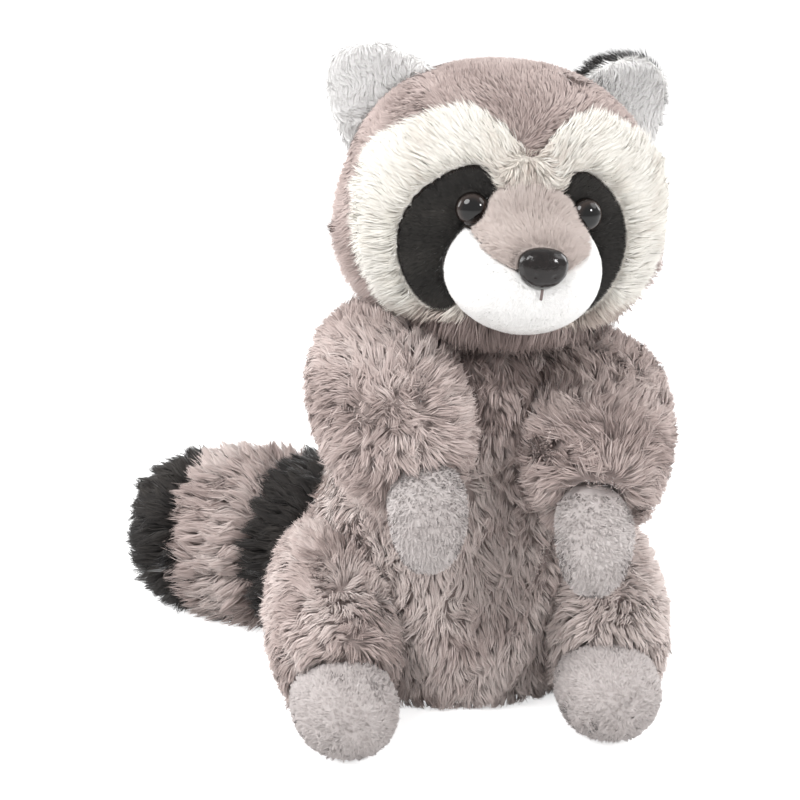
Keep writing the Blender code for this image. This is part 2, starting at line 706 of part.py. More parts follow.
def ear_layer(offset):
    """A cupped round layer whose lower part, the root, is buried in the head."""
    bm = bmesh.new()
    bmesh.ops.create_grid(bm, x_segments=EAR_CELLS, y_segments=EAR_CELLS, size=1.0)
    for vert in bm.verts:
        u, v = vert.co.x, vert.co.y
        x = u * math.sqrt(1 - v * v / 2)
        z = v * math.sqrt(1 - u * u / 2)
        height = EAR_HEIGHT if z > 0 else EAR_ROOT
        vert.co = (x * EAR_WIDTH / 2, EAR_CUP * (1 - x * x) * (1 - EAR_OPENING * z * z), z * height)
    bmesh.ops.triangulate(bm, faces=bm.faces[:])
    bmesh.ops.translate(bm, verts=bm.verts, vec=(0, offset, 0))
    made = bmesh.ops.extrude_face_region(bm, geom=bm.faces[:], use_keep_orig=True)
    raised = [item for item in made["geom"] if isinstance(item, bmesh.types.BMVert)]
    bmesh.ops.translate(bm, verts=raised, vec=(0, EAR_FABRIC, 0))
    bmesh.ops.recalc_face_normals(bm, faces=bm.faces)
    return bm


# Arms and paws

def arm_point(point, side, out=0.0):
    """A point of the right arm's line, or of the left's, which hangs lower."""
    if side < 0:
        return (-point[0], point[1], point[2])
    return (point[0] + out, point[1], point[2] - LEFT_ARM_DROP)


def arm_form(side, grow=0.0):
    line = [arm_point(p, side) for p in (SHOULDER, ELBOW, WRIST)]
    return shaped_sphere(sausage(*line, ARM_WIDTH, ARM_WIDTH, ARM_FULLNESS, grow), LIMB_FACETS)


def paw_form(side, grow=0.0):
    line = [arm_point(p, side, LEFT_PAW_OUT) for p in (PAW_ROOT, PAW_BEND, PAW_TIP)]
    return shaped_sphere(sausage(*line, PAW_WIDTH, PAW_THICKNESS, PAW_FULLNESS, grow), PAW_FACETS)


def make_arm(name, side, spot, cutters, fur, nap):
    arm = add_piece(f"arm_{name}", arm_form(side), fur, spot)
    paw_room = add_cutter(f"paw room {name}", paw_form(side, SEAM_GAP), spot)
    cut(arm, *cutters, paw_room)
    paw = add_piece(f"paw_{name}", paw_form(side), nap, spot)
    cut(paw, *cutters)


# Legs and feet

def leg_form(line, grow=0.0):
    return shaped_sphere(sausage(*line, LEG_WIDTH, LEG_HEIGHT, LEG_FULLNESS, grow, LEG_TAPER), LIMB_FACETS)


def foot_form(ankle, knee, grow=0.0):
    """A stubby foot that points the way the leg does, its toes a little raised."""
    ahead = Vector((ankle[0] - knee[0], ankle[1] - knee[1], 0)).normalized()
    ahead = (ahead + Vector((0, -1, 0))).normalized()
    toes = Vector(ankle) + ahead * FOOT_REACH
    toes.z = FOOT_HEIGHT / 2 - REST_PRESS
    heel = toes - ahead * FOOT_LENGTH
    middle = (toes + heel) / 2
    toes.z += TOE_RISE
    return shaped_sphere(sausage(heel, middle, toes, FOOT_WIDTH, FOOT_HEIGHT, FOOT_FULLNESS, grow),
                         SMALL_FACETS)


def make_leg(name, line, torso_cutter, fur, nap):
    _, knee, ankle = line
    leg = add_piece(f"leg_{name}", flatten_rest(leg_form(line)), fur)
    foot_room = add_cutter(f"foot room {name}", foot_form(ankle, knee, SEAM_GAP))
    cut(leg, torso_cutter, foot_room)
    foot = add_piece(f"foot_{name}", flatten_rest(foot_form(ankle, knee)), nap)
    cut(foot, torso_cutter)


# Tail

def tail_form():
    return shaped_sphere(sausage(TAIL_ROOT, TAIL_BEND, TAIL_END, TAIL_WIDTH, TAIL_HEIGHT, TAIL_FULLNESS),
                         TAIL_FACETS)


def make_tail(torso_cutter, grey, black):
    """Rings of fur cut square across the tail's middle line, black at the tip."""
    line = (TAIL_ROOT, TAIL_BEND, TAIL_END)
    length = (Vector(TAIL_END) - Vector(TAIL_ROOT)).length
    marks = [None, *(seam / length for seam in TAIL_SEAMS), None]
    for k, (start, end) in enumerate(zip(marks, marks[1:])):
        planes = []
        for mark, way in ((start, 1), (end, -1)):
            direction = curve_direction(*line, mark or 0.0)
            point = curve_point(*line, mark) + direction * way * SEAM_GAP / 2 if mark else None
            planes.append((point, direction))
        ring = flatten_rest(slice_between(tail_form(), *planes))
        dark = (len(marks) - 2 - k) % 2 == 0
        name = "tail_tip" if end is None else f"tail_ring_{k + 1}"
        piece = add_piece(name, ring, black if dark else grey)
        cut(piece, torso_cutter)


def build():
    grey = material("grey long pile", GREY_FUR, 0.95)
    cream = material("cream long pile", CREAM_FUR, 0.95)
    black = material("black pile", BLACK_FUR, 0.9)
    white = material("white short plush", WHITE_PLUSH, 0.95)
    bridge = material("bridge short plush", BRIDGE_PLUSH, 0.95)
    nap = material("grey short nap", PAW_PLUSH, 0.95)
    plastic = material("dark moulded plastic", DARK_PLASTIC, 0.12)
    washer = material("washer plastic", WASHER_PLASTIC, 0.4)
    thread = material("thread", THREAD, 0.7)

    body = place("leaning body", None, (HIP_X, 0, HIP_HEIGHT), (0, LEAN, 0))
    spot = place("head place", body, (0, -HEAD_FORWARD, HEAD_RISE))
    torso_cutter = add_cutter("torso clearance", shaped_sphere(torso_form(SEAM_GAP), BODY_FACETS))
    tools = face_tools(spot)
    head_cutter = head_clearance(spot, tools)

    make_torso(grey, head_cutter)
    make_head(grey, spot, tools)
    make_face_panels(spot, tools, cream, black)
    make_muzzle(spot, tools, white, bridge)
    for name, side in SIDES:
        eye_spot = tools[f"eye place {name}"]
        make_eye(name, eye_spot, plastic)
        make_washer(f"eye_washer_{name}", eye_spot, washer_front(), washer)
        make_ear(name, side, spot, head_cutter, white, black)
        make_arm(name, side, body, (torso_cutter, head_cutter), grey, nap)
    make_nose(spot, plastic, washer)
    make_mouth_stitch(spot, thread)
    make_leg("right", (RIGHT_HIP, RIGHT_KNEE, RIGHT_ANKLE), torso_cutter, grey, nap)
    make_leg("left", (LEFT_HIP, LEFT_KNEE, LEFT_ANKLE), torso_cutter, grey, nap)
    make_tail(torso_cutter, grey, black)
    close_slivers()


clear_scene()
PIECES = collection("plush raccoon")
CUTTERS = collection("cutters")
build()
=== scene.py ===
import math

import bmesh
import bpy
import numpy as np
from mathutils import Matrix, Vector
from mathutils.bvhtree import BVHTree
from mathutils.kdtree import KDTree


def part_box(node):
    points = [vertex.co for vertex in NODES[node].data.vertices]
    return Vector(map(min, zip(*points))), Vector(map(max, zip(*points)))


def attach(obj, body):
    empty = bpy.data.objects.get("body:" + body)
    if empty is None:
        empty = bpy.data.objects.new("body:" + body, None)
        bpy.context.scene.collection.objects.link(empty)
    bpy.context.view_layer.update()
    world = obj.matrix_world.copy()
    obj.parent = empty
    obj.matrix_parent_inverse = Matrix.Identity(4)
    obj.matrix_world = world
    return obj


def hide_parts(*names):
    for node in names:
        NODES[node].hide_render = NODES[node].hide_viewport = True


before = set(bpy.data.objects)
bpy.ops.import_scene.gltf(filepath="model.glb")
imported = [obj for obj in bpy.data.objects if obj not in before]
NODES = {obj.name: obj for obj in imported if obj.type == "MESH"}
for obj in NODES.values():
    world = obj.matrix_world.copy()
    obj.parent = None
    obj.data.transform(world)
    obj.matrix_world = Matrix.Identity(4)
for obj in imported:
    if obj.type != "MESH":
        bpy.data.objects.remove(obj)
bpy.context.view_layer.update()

MM = 0.001
SIDES = (("right", -1), ("left", 1))

# Where the camera stands
CAMERA_PLACE = (-0.18351, -0.87544, 0.34122)
CAMERA_TARGET = (-0.02344, 0.03233, 0.11139)
CAMERA_LENS = 104.3
SENSOR = 36.0

# Each lamp's place, watts and width across
LAMPS = {
    "key": ((-1.1, -0.8, 1.5), 29.0, 1.0),
    "side": ((0.75, -0.9, 0.7), 5.5, 0.18),
    "right": ((1.3, -0.3, 1.3), 7.0, 1.0),
    "left edge": ((-1.3, 0.45, 0.7), 12.0, 0.8),
    "right edge": ((1.3, 0.45, 0.7), 10.0, 0.8),
}
LAMP_TARGET = (0, 0, 0.12)
WORLD_LIGHT = 0.42       # the soft light from all round
FLOOR_GLOW = 0.70        # lifts the floor to white where the camera sees it
FLOOR_SIZE = 4.0

FLOOR_CLEAR = 0.3 * MM   # no pile goes lower
FLOOR_REACH = 2.5 * MM   # below this a face that looks down lies on the floor

# Painted shade on the torso's front
CHEST_HEIGHT = 105 * MM  # above this it is in the shade of the arms
NECK_HEIGHT = 138 * MM   # and above this in the deeper shade of the chin

# How the pile is drawn
TINTS = 16               # shades of lock in one fur
PALETTE = "OFBake"       # the map that places each lock in its shade and each point from root to tip
SKIN_PATCH = 0.02        # the corner of that map that the bare skin is painted from
ROOT_DEPTH = 0.4 * MM    # how far a fibre starts below the skin

# How unruly the fibres are
STRAYS = 0.05            # the share of them that leave their clump
OWN_TURN = 0.16          # how far each one turns on the skin
CLUMP_TURN = 0.42        # and how far its clump does
OWN_CHANGE = 0.14        # how far each one's rise and length depart from the coat's
CLUMP_RISE = 0.26        # and how far its clump's rise
CLUMP_REACH = 0.14       # and length do
FIBRE_ROLL = 0.6         # how far each one turns about itself


# Places on the animal

def middle_of(node):
    low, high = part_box(node)
    return (low + high) / 2


def front_of(node, share_x=0.5, share_z=0.5):
    """A place on the front of a node's box, a share of the way across it and up it."""
    low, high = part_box(node)
    return (low.x + (high.x - low.x) * share_x, low.y, low.z + (high.z - low.z) * share_z)


def between_brows():
    """Where the two cream panels meet, over the bridge of the nose."""
    low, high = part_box("nose_bridge")
    return ((low.x + high.x) / 2, low.y + 20 * MM, high.z + 6 * MM)


def tail_line():
    """The tail's middle line, from the rings' own middles."""
    rings = ["tail_ring_1", "tail_ring_2", "tail_ring_3", "tail_tip"]
    return np.array([middle_of(ring)[:] for ring in rings])


HEAD_MIDDLE = middle_of("head")
NOSE_MIDDLE = middle_of("nose")
FOREHEAD = Vector((HEAD_MIDDLE.x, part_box("head")[0].y, HEAD_MIDDLE.z + 26 * MM))


# Scene

def stand_at(name, thing, place, target):
    """A camera or lamp, put in its place and turned to its target."""
    stand = bpy.data.objects.new(name, thing)
    stand.location = place
    stand.rotation_euler = (Vector(target) - Vector(place)).to_track_quat("-Z", "Y").to_euler()
    bpy.context.scene.collection.objects.link(stand)
    return stand


def make_camera():
    camera = bpy.data.cameras.new("camera")
    camera.lens = CAMERA_LENS
    camera.sensor_width = SENSOR
    bpy.context.scene.camera = stand_at("camera", camera, CAMERA_PLACE, CAMERA_TARGET)


def make_lamps():
    for name, (place, watts, width) in LAMPS.items():
        lamp = bpy.data.lights.new(name, "AREA")
        lamp.energy = watts
        lamp.shape = "DISK"
        lamp.size = width
        stand_at(name, lamp, place, LAMP_TARGET)


def seen_by_camera(tree):
    """1 where the camera looks, also through glass or in a gloss, and 0 where only light falls."""
    path = tree.nodes.new("ShaderNodeLightPath")
    either = tree.nodes.new("ShaderNodeMath")
    either.operation = "MAXIMUM"
    tree.links.new(path.outputs["Is Camera Ray"], either.inputs[0])
    tree.links.new(path.outputs["Is Glossy Ray"], either.inputs[1])
    also = tree.nodes.new("ShaderNodeMath")
    also.operation = "MAXIMUM"
    tree.links.new(either.outputs[0], also.inputs[0])
    tree.links.new(path.outputs["Is Transmission Ray"], also.inputs[1])
    return also.outputs[0]


def white_backdrop(tree, lit, shown, output):
    """What lights the object, and the plain white that the camera sees in its place."""
    mix = tree.nodes.new("ShaderNodeMixShader")
    tree.links.new(seen_by_camera(tree), mix.inputs[0])
    tree.links.new(lit, mix.inputs[1])
    tree.links.new(shown, mix.inputs[2])
    tree.links.new(mix.outputs[0], tree.nodes[output].inputs["Surface"])


def make_world():
    world = bpy.data.worlds.new("studio")
    bpy.context.scene.world = world
    world.use_nodes = True
    tree = world.node_tree
    soft = tree.nodes["Background"]
    soft.inputs["Color"].default_value = (1.0, 0.99, 0.98, 1)
    soft.inputs["Strength"].default_value = WORLD_LIGHT
    white = tree.nodes.new("ShaderNodeBackground")
    white.inputs["Color"].default_value = (1, 1, 1, 1)
    white_backdrop(tree, soft.outputs[0], white.outputs[0], "World Output")


def make_floor():
    bm = bmesh.new()
    bmesh.ops.create_grid(bm, x_segments=1, y_segments=1, size=FLOOR_SIZE)
    mesh = bpy.data.meshes.new("floor")
    bm.to_mesh(mesh)
    bm.free()
    floor = bpy.data.objects.new("floor", mesh)
    bpy.context.scene.collection.objects.link(floor)
    paper, tree, shader = new_material("floor paper")
    shader.inputs["Base Color"].default_value = (0.86, 0.86, 0.86, 1)
    shader.inputs["Roughness"].default_value = 0.9
    glow = tree.nodes.new("ShaderNodeEmission")
    glow.inputs["Strength"].default_value = FLOOR_GLOW
    bright = tree.nodes.new("ShaderNodeAddShader")
    tree.links.new(shader.outputs[0], bright.inputs[0])
    tree.links.new(glow.outputs[0], bright.inputs[1])
    white_backdrop(tree, shader.outputs[0], bright.outputs[0], "Material Output")
    mesh.materials.append(paper)


# Colours and materials

def linear(channel):
    return channel / 12.92 if channel <= 0.04045 else ((channel + 0.055) / 1.055) ** 2.4


def colour(red, green, blue):
    """A colour as it looks, from 0 to 255, as the shader wants it."""
    return (linear(red / 255), linear(green / 255), linear(blue / 255), 1.0)


def grey(value):
    return (value, value, value, 1.0)


def new_material(name):
    made = bpy.data.materials.new(name)
    made.use_nodes = True
    return made, made.node_tree, made.node_tree.nodes["Principled BSDF"]


def ramp(tree, stops):
    node = tree.nodes.new("ShaderNodeValToRGB")
    elements = node.color_ramp.elements
    while len(elements) > 1:
        elements.remove(elements[-1])
    elements[0].position, elements[0].color = stops[0]
    for place, shade in stops[1:]:
        elements.new(place).color = shade
    return node


def pile_material(name, tints, painted_root_shade):
    """Fibre whose shade comes from its lock, darkened from tip to root: painted shade deep in the pile."""
    made, tree, shader = new_material(name)
    where = tree.nodes.new("ShaderNodeUVMap")
    where.uv_map = PALETTE
    split = tree.nodes.new("ShaderNodeSeparateXYZ")
    tree.links.new(where.outputs["UV"], split.inputs[0])
    spread = ramp(tree, [(k / (len(tints) - 1), colour(*tint)) for k, tint in enumerate(tints)])
    tree.links.new(split.outputs["X"], spread.inputs["Fac"])
    # Darker towards the root: painted shade deep in the pile
    depth = ramp(tree, [(place, grey(value)) for place, value in painted_root_shade])
    tree.links.new(split.outputs["Y"], depth.inputs["Fac"])
    product = tree.nodes.new("ShaderNodeMix")
    product.data_type = "RGBA"
    product.blend_type = "MULTIPLY"
    product.inputs["Factor"].default_value = 1.0
    tree.links.new(spread.outputs["Color"], product.inputs["A"])
    tree.links.new(depth.outputs["Color"], product.inputs["B"])
    tree.links.new(product.outputs["Result"], shader.inputs["Base Color"])
    shader.inputs["Roughness"].default_value = 0.75
    shader.inputs["Specular IOR Level"].default_value = 0.25
    shader.inputs["Sheen Weight"].default_value = 0.35
    shader.inputs["Sheen Roughness"].default_value = 0.4
    return made


def make_pile_materials():
    """The fabrics: their shades of lock, dark to light, and the painted shade that darkens each pile
    towards its roots.
    """
    # How dark each pile is at its roots: painted shade, on top of the shadows the fibres cast
    deep = [(0.0, 0.60), (0.3, 0.82), (0.65, 0.95), (1.0, 1.0)]
    pale = [(0.0, 0.92), (0.35, 0.97), (1.0, 1.0)]
    clipped = [(0.0, 0.92), (0.5, 0.98), (1.0, 1.0)]
    nap = [(0.0, 0.80), (0.5, 0.95), (1.0, 1.0)]
    fabrics = {
        # The grey's and the white plush's darkest tints serve mostly the painted shade under the chin and
        # on the chest
        "grey_long_pile": (
            [(132, 116, 112), (174, 157, 152), (196, 179, 174), (209, 194, 189), (222, 209, 204)], deep),
        "cream_long_pile": (
            [(190, 175, 166), (228, 220, 211), (240, 237, 230), (247, 244, 238)], pale),
        "black_long_pile": ([(28, 26, 25), (40, 37, 36), (58, 54, 51)], deep),
        "black_short_pile": ([(34, 32, 31), (46, 44, 42), (60, 57, 54)], clipped),
        "white_short_plush": (
            [(176, 168, 164), (244, 243, 241), (251, 250, 249), (254, 253, 252)], clipped),
        "grey_short_plush": ([(182, 168, 162), (196, 183, 177), (214, 203, 197)], clipped),
        "grey_short_nap": ([(184, 175, 173), (199, 191, 189), (216, 209, 207)], nap),
    }
    return {slot: pile_material(slot.replace("_", " "), tints, painted_root_shade)
            for slot, (tints, painted_root_shade) in fabrics.items()}


def grained_material(name, dark, light, grain, detail, strength, depth):
    """A finish with a fine grain in its shade and in its relief."""
    made, tree, shader = new_material(name)
    where = tree.nodes.new("ShaderNodeTexCoord")
    noise = tree.nodes.new("ShaderNodeTexNoise")
    noise.inputs["Scale"].default_value = grain
    noise.inputs["Detail"].default_value = detail
    tree.links.new(where.outputs["Object"], noise.inputs["Vector"])
    shades = ramp(tree, [(0.3, colour(*dark)), (0.7, colour(*light))])
    tree.links.new(noise.outputs["Fac"], shades.inputs["Fac"])
    tree.links.new(shades.outputs["Color"], shader.inputs["Base Color"])
    bump = tree.nodes.new("ShaderNodeBump")
    bump.inputs["Strength"].default_value = strength
    bump.inputs["Distance"].default_value = depth
    tree.links.new(noise.outputs["Fac"], bump.inputs["Height"])
    tree.links.new(bump.outputs["Normal"], shader.inputs["Normal"])
    return made, shader


# Skins: the sewn fabric under the pile

def clean_copy(nodes):
    """The nodes' faces, joined at their edges."""
    bm = bmesh.new()
    for node in nodes:
        bm.from_mesh(NODES[node].data)
    bmesh.ops.remove_doubles(bm, verts=bm.verts, dist=0.01 * MM)
    return bm


def remeshed(bm, voxel):
    """The same form in even quads, a voxel across."""
    rough = bpy.data.meshes.new("rough")
    bm.to_mesh(rough)
    bm.free()
    carrier = bpy.data.objects.new("rough", rough)
    bpy.context.scene.collection.objects.link(carrier)
    step = carrier.modifiers.new("even", "REMESH")
    step.mode = "VOXEL"
    step.voxel_size = voxel
    even = bpy.data.meshes.new_from_object(carrier.evaluated_get(bpy.context.evaluated_depsgraph_get()))
    bpy.data.objects.remove(carrier)
    bpy.data.meshes.remove(rough)
    made = bmesh.new()
    made.from_mesh(even)
    bpy.data.meshes.remove(even)
    return made


def rounded_form(nodes, voxel, rounds):
    """The nodes as one form, with its facets and seams smoothed away."""
    bm = remeshed(clean_copy(nodes), voxel)
    for _ in range(rounds):
        bmesh.ops.smooth_vert(bm, verts=bm.verts, factor=0.5, use_axis_x=True, use_axis_y=True,
                              use_axis_z=True)
    bmesh.ops.recalc_face_normals(bm, faces=bm.faces)
    return bm


def skin(nodes, voxel, rounds, inset):
    """The nodes' sewn fabric, an inset inside their faces and clear of the floor."""
    bm = rounded_form(nodes, voxel, rounds)
    if inset:
        bm.normal_update()
        moved = [vert.co - vert.normal * inset for vert in bm.verts]
        for vert, place in zip(bm.verts, moved):
            vert.co = place
    for vert in bm.verts:
        vert.co.z = max(vert.co.z, FLOOR_CLEAR)
    mesh = bpy.data.meshes.new(nodes[0] + "_skin")
    bm.to_mesh(mesh)
    bm.free()
    return mesh


def neighbours_of(nodes):
    """The surfaces of all the other pieces, to tell where a skin is covered."""
    points, faces = [], []
    for name, other in NODES.items():
        if name in nodes or "washer" in name or name == "mouth_stitch":
            continue
        start = len(points)
        points += [vert.co[:] for vert in other.data.vertices]
        faces += [[start + v for v in face.vertices] for face in other.data.polygons]
    return BVHTree.FromPolygons(points, faces)


def covered(mesh, nodes, reach):
    """For each face of a skin, whether another piece or the floor lies against it."""
    tree = neighbours_of(nodes)
    hidden = np.zeros(len(mesh.polygons), bool)
    for k, face in enumerate(mesh.polygons):
        place, _, _, _ = tree.ray_cast(face.center, face.normal, reach)
        on_floor = face.center.z < FLOOR_REACH and face.normal.z < -0.3
        hidden[k] = place is not None or on_floor
    return hidden


# Fibres

def template_of(bm):
    """A fibre's points and faces, with x and y across it and z from root to tip."""
    bm.verts.index_update()
    points = np.array([vert.co[:] for vert in bm.verts], np.float32)
    faces = [[vert.index for vert in face.verts] for face in bm.faces]
    bm.free()
    return points, faces


def blade(rows):
    """A flat fibre that stands up, a row of cells for each bend and drawn to a point."""
    bm = bmesh.new()
    bmesh.ops.create_grid(bm, x_segments=1, y_segments=rows, size=1.0)
    bmesh.ops.scale(bm, verts=bm.verts, vec=(1, 0.5, 1))
    bmesh.ops.translate(bm, verts=bm.verts, vec=(0, 0.5, 0))
    bmesh.ops.rotate(bm, verts=bm.verts, matrix=Matrix.Rotation(math.pi / 2, 3, "X"))
    end = [vert for vert in bm.verts if vert.co.z > 0.9]
    bmesh.ops.pointmerge(bm, verts=end, merge_co=(0, 0, 1))
    return bm


def long_fibre():
    """Two triangles: bent at the middle, where it is widest, and drawn to a point at both ends."""
    bm = blade(2)
    root = [vert for vert in bm.verts if vert.co.z < 0.1]
    bmesh.ops.pointmerge(bm, verts=root, merge_co=(0, 0, 0))
    return template_of(bm)


def short_fibre():
    """One straight triangle."""
    return template_of(blade(1))


LONG_FIBRE = long_fibre()
SHORT_FIBRE = short_fibre()


def read(items, name, width, kind=np.float32):
    """One value of every item of a mesh, a row for each item."""
    values = np.empty(len(items) * width, kind)
    items.foreach_get(name, values)
    return values.reshape(-1, width) if width > 1 else values


def unit(vectors):
    return vectors / np.maximum(np.linalg.norm(vectors, axis=1, keepdims=True), 1e-9)


def tangent(vectors, normals):
    """The vectors laid flat on the skin."""
    return unit(vectors - normals * np.sum(vectors * normals, axis=1, keepdims=True))


def swirl(points, size, seed):
    """A smooth wandering direction at each point, that turns over about the given size."""
    draw = np.random.default_rng(seed)
    field = np.zeros_like(points)
    for _ in range(7):
        wave = draw.normal(size=3) / size
        phase = draw.uniform(0, 2 * np.pi)
        field += np.sin(points @ wave * 2.2 + phase)[:, None] * draw.normal(size=3)
    return field / 2.6


def scatter(mesh, hidden, density, draw):
    """Roots spread evenly over the open faces: places and normals."""
    mesh.calc_loop_triangles()
    corners = read(mesh.loop_triangles, "vertices", 3, np.int32)
    owner = read(mesh.loop_triangles, "polygon_index", 1, np.int32)
    points = read(mesh.vertices, "co", 3)
    normals = read(mesh.vertex_normals, "vector", 3)
    a, b, c = (points[corners[:, k]] for k in range(3))
    area = np.linalg.norm(np.cross(b - a, c - a), axis=1) / 2
    area = area * ~hidden[owner]
    total = area.sum()
    count = int(total * density)
    ladder = np.cumsum(area) / total
    picks = np.searchsorted(ladder, (np.arange(count) + draw.uniform(size=count)) / count)
    picks = np.minimum(picks, len(area) - 1)
    u, v = draw.uniform(size=(2, count))
    flip = u + v > 1
    u[flip], v[flip] = 1 - u[flip], 1 - v[flip]
    weights = np.stack([1 - u - v, u, v], axis=1).astype(np.float32)
    place = sum(points[corners[picks, k]] * weights[:, k:k + 1] for k in range(3))
    normal = unit(sum(normals[corners[picks, k]] * weights[:, k:k + 1] for k in range(3)))
    return place, normal


def clumps(place, normal, spacing, density, draw):
    """For each fibre, the number of the fibre that its clump gathers round."""
    count = max(1, int(len(place) / max(1.0, density * spacing ** 2)))
    leaders = draw.choice(len(place), size=count, replace=False)
    apart = place + normal * spacing
    tree = KDTree(count)
    for k, leader in enumerate(leaders):
        tree.insert(apart[leader], k)
    tree.balance()
    return np.array([leaders[tree.find(point)[1]] for point in apart])


def uneven(draw, leader, of_clump):
    """A factor about 1 for each fibre, part its clump's and part its own."""
    factor = 1 + of_clump * draw.normal(size=len(leader))[leader]
    factor += OWN_CHANGE * draw.normal(size=len(leader))
    return factor


def combed(place, normal, leader, comb, coat, draw, seed):
    """The way each fibre lies on the skin, and how far the comb stands it up."""
    flow = comb(place, normal)
    upright = 1 - np.clip(np.linalg.norm(flow, axis=1), 0, 1)
    flow = tangent(unit(flow) + coat["tousle"] * swirl(place, coat["swirl"], seed + 1), normal)
    own_turn = draw.normal(scale=OWN_TURN, size=place.shape)
    clump_turn = draw.normal(scale=CLUMP_TURN * coat["ragged"], size=place.shape)[leader]
    return tangent(flow + (own_turn + clump_turn) * (0.4 + coat["tousle"]), normal), upright


def bent(place, normal, leader, flow, upright, stray, coat, draw):
    """Each fibre's root, middle and tip, and how far it stands from its clump's middle."""
    rise = uneven(draw, leader, CLUMP_RISE * coat["ragged"]) + 0.25 * coat["ragged"] * stray
    rise = np.clip(np.radians(coat["lift"]) * rise + upright, 0.12, 1.4)[:, None]
    reach = uneven(draw, leader, CLUMP_REACH * coat["ragged"]) + 0.15 * stray
    reach = (coat["length"] * coat["trim"](place) * np.clip(reach, 0.4, 1.45))[:, None]
    first = unit(normal * np.sin(rise * 1.3) + flow * np.cos(rise * 1.3))
    last = unit(normal * np.sin(rise * 0.65) + flow * np.cos(rise * 0.65))
    root = place - normal * ROOT_DEPTH
    middle = place + first * reach * 0.5
    tip = middle + last * reach * 0.5
    gather = coat["pull"] * np.clip(1 + 0.3 * draw.normal(size=len(place)), 0.2, 1.3)
    gather = np.clip(gather * (1 - 0.8 * stray), 0, 0.95)[:, None]
    beside = (middle - middle[leader]) / coat["clump"]
    tip = tip + (tip[leader] - tip) * gather
    middle = middle + (middle[leader] - middle) * gather * 0.35
    return root, middle, tip, beside


def drawn_out(normal, root, middle, tip, beside, coat, draw):
    """Each fibre's points on its bent spine, with normals that shade a clump as one rounded lock."""
    template, _ = coat["fibre"]
    count = len(root)
    along = unit(tip - root)
    side = unit(np.cross(along, normal) + 1e-6)
    over = np.cross(along, side)
    outward = 0.6 * normal - 0.4 * over
    roll = draw.normal(scale=FIBRE_ROLL, size=count)[:, None]
    side, over = side * np.cos(roll) + over * np.sin(roll), over * np.cos(roll) - side * np.sin(roll)
    girth = coat["width"] * np.clip(1 + 0.25 * draw.normal(size=count), 0.4, 1.8)[:, None]
    rounded = beside - along * np.sum(beside * along, axis=1, keepdims=True)
    points = np.empty((count, len(template), 3), np.float32)
    shading = np.empty_like(points)
    bend = 2 * middle - (root + tip) / 2
    for k, (x, y, t) in enumerate(template):
        spine = (1 - t) ** 2 * root + 2 * t * (1 - t) * bend + t ** 2 * tip
        off = side * x + over * y
        points[:, k] = spine + off * girth / 2
        shading[:, k] = unit(outward + coat["relief"] * (rounded + 0.6 * off))
    points[:, :, 2] = np.maximum(points[:, :, 2], FLOOR_CLEAR)
    return points, shading


def tinted(place, leader, stray, coat, draw, seed):
    """Each fibre's shade on the palette: its place's tone, mottled."""
    count = len(place)
    mottle = 0.2 * swirl(place, 14 * MM, seed + 2)[:, 0] + 0.12 * draw.normal(size=count)[leader]
    mottle += 0.10 * draw.normal(size=count) + 0.2 * stray
    shade = coat["tone"](place) + coat["mottle"] * mottle
    return np.clip((shade * TINTS).astype(int), 0, TINTS - 1)


def grow(mesh, hidden, comb, coat, seed):
    """A coat of pile over a skin: the fibres' points, their shading normals and their shades."""
    draw = np.random.default_rng(seed)
    density = coat["density"] / MM ** 2
    place, normal = scatter(mesh, hidden, density, draw)
    leader = clumps(place, normal, coat["clump"], density, draw)
    flow, upright = combed(place, normal, leader, comb, coat, draw, seed)
    stray = draw.uniform(size=len(place)) < STRAYS
    root, middle, tip, beside = bent(place, normal, leader, flow, upright, stray, coat, draw)
    points, shading = drawn_out(normal, root, middle, tip, beside, coat, draw)
    return points, shading, tinted(place, leader, stray, coat, draw, seed)


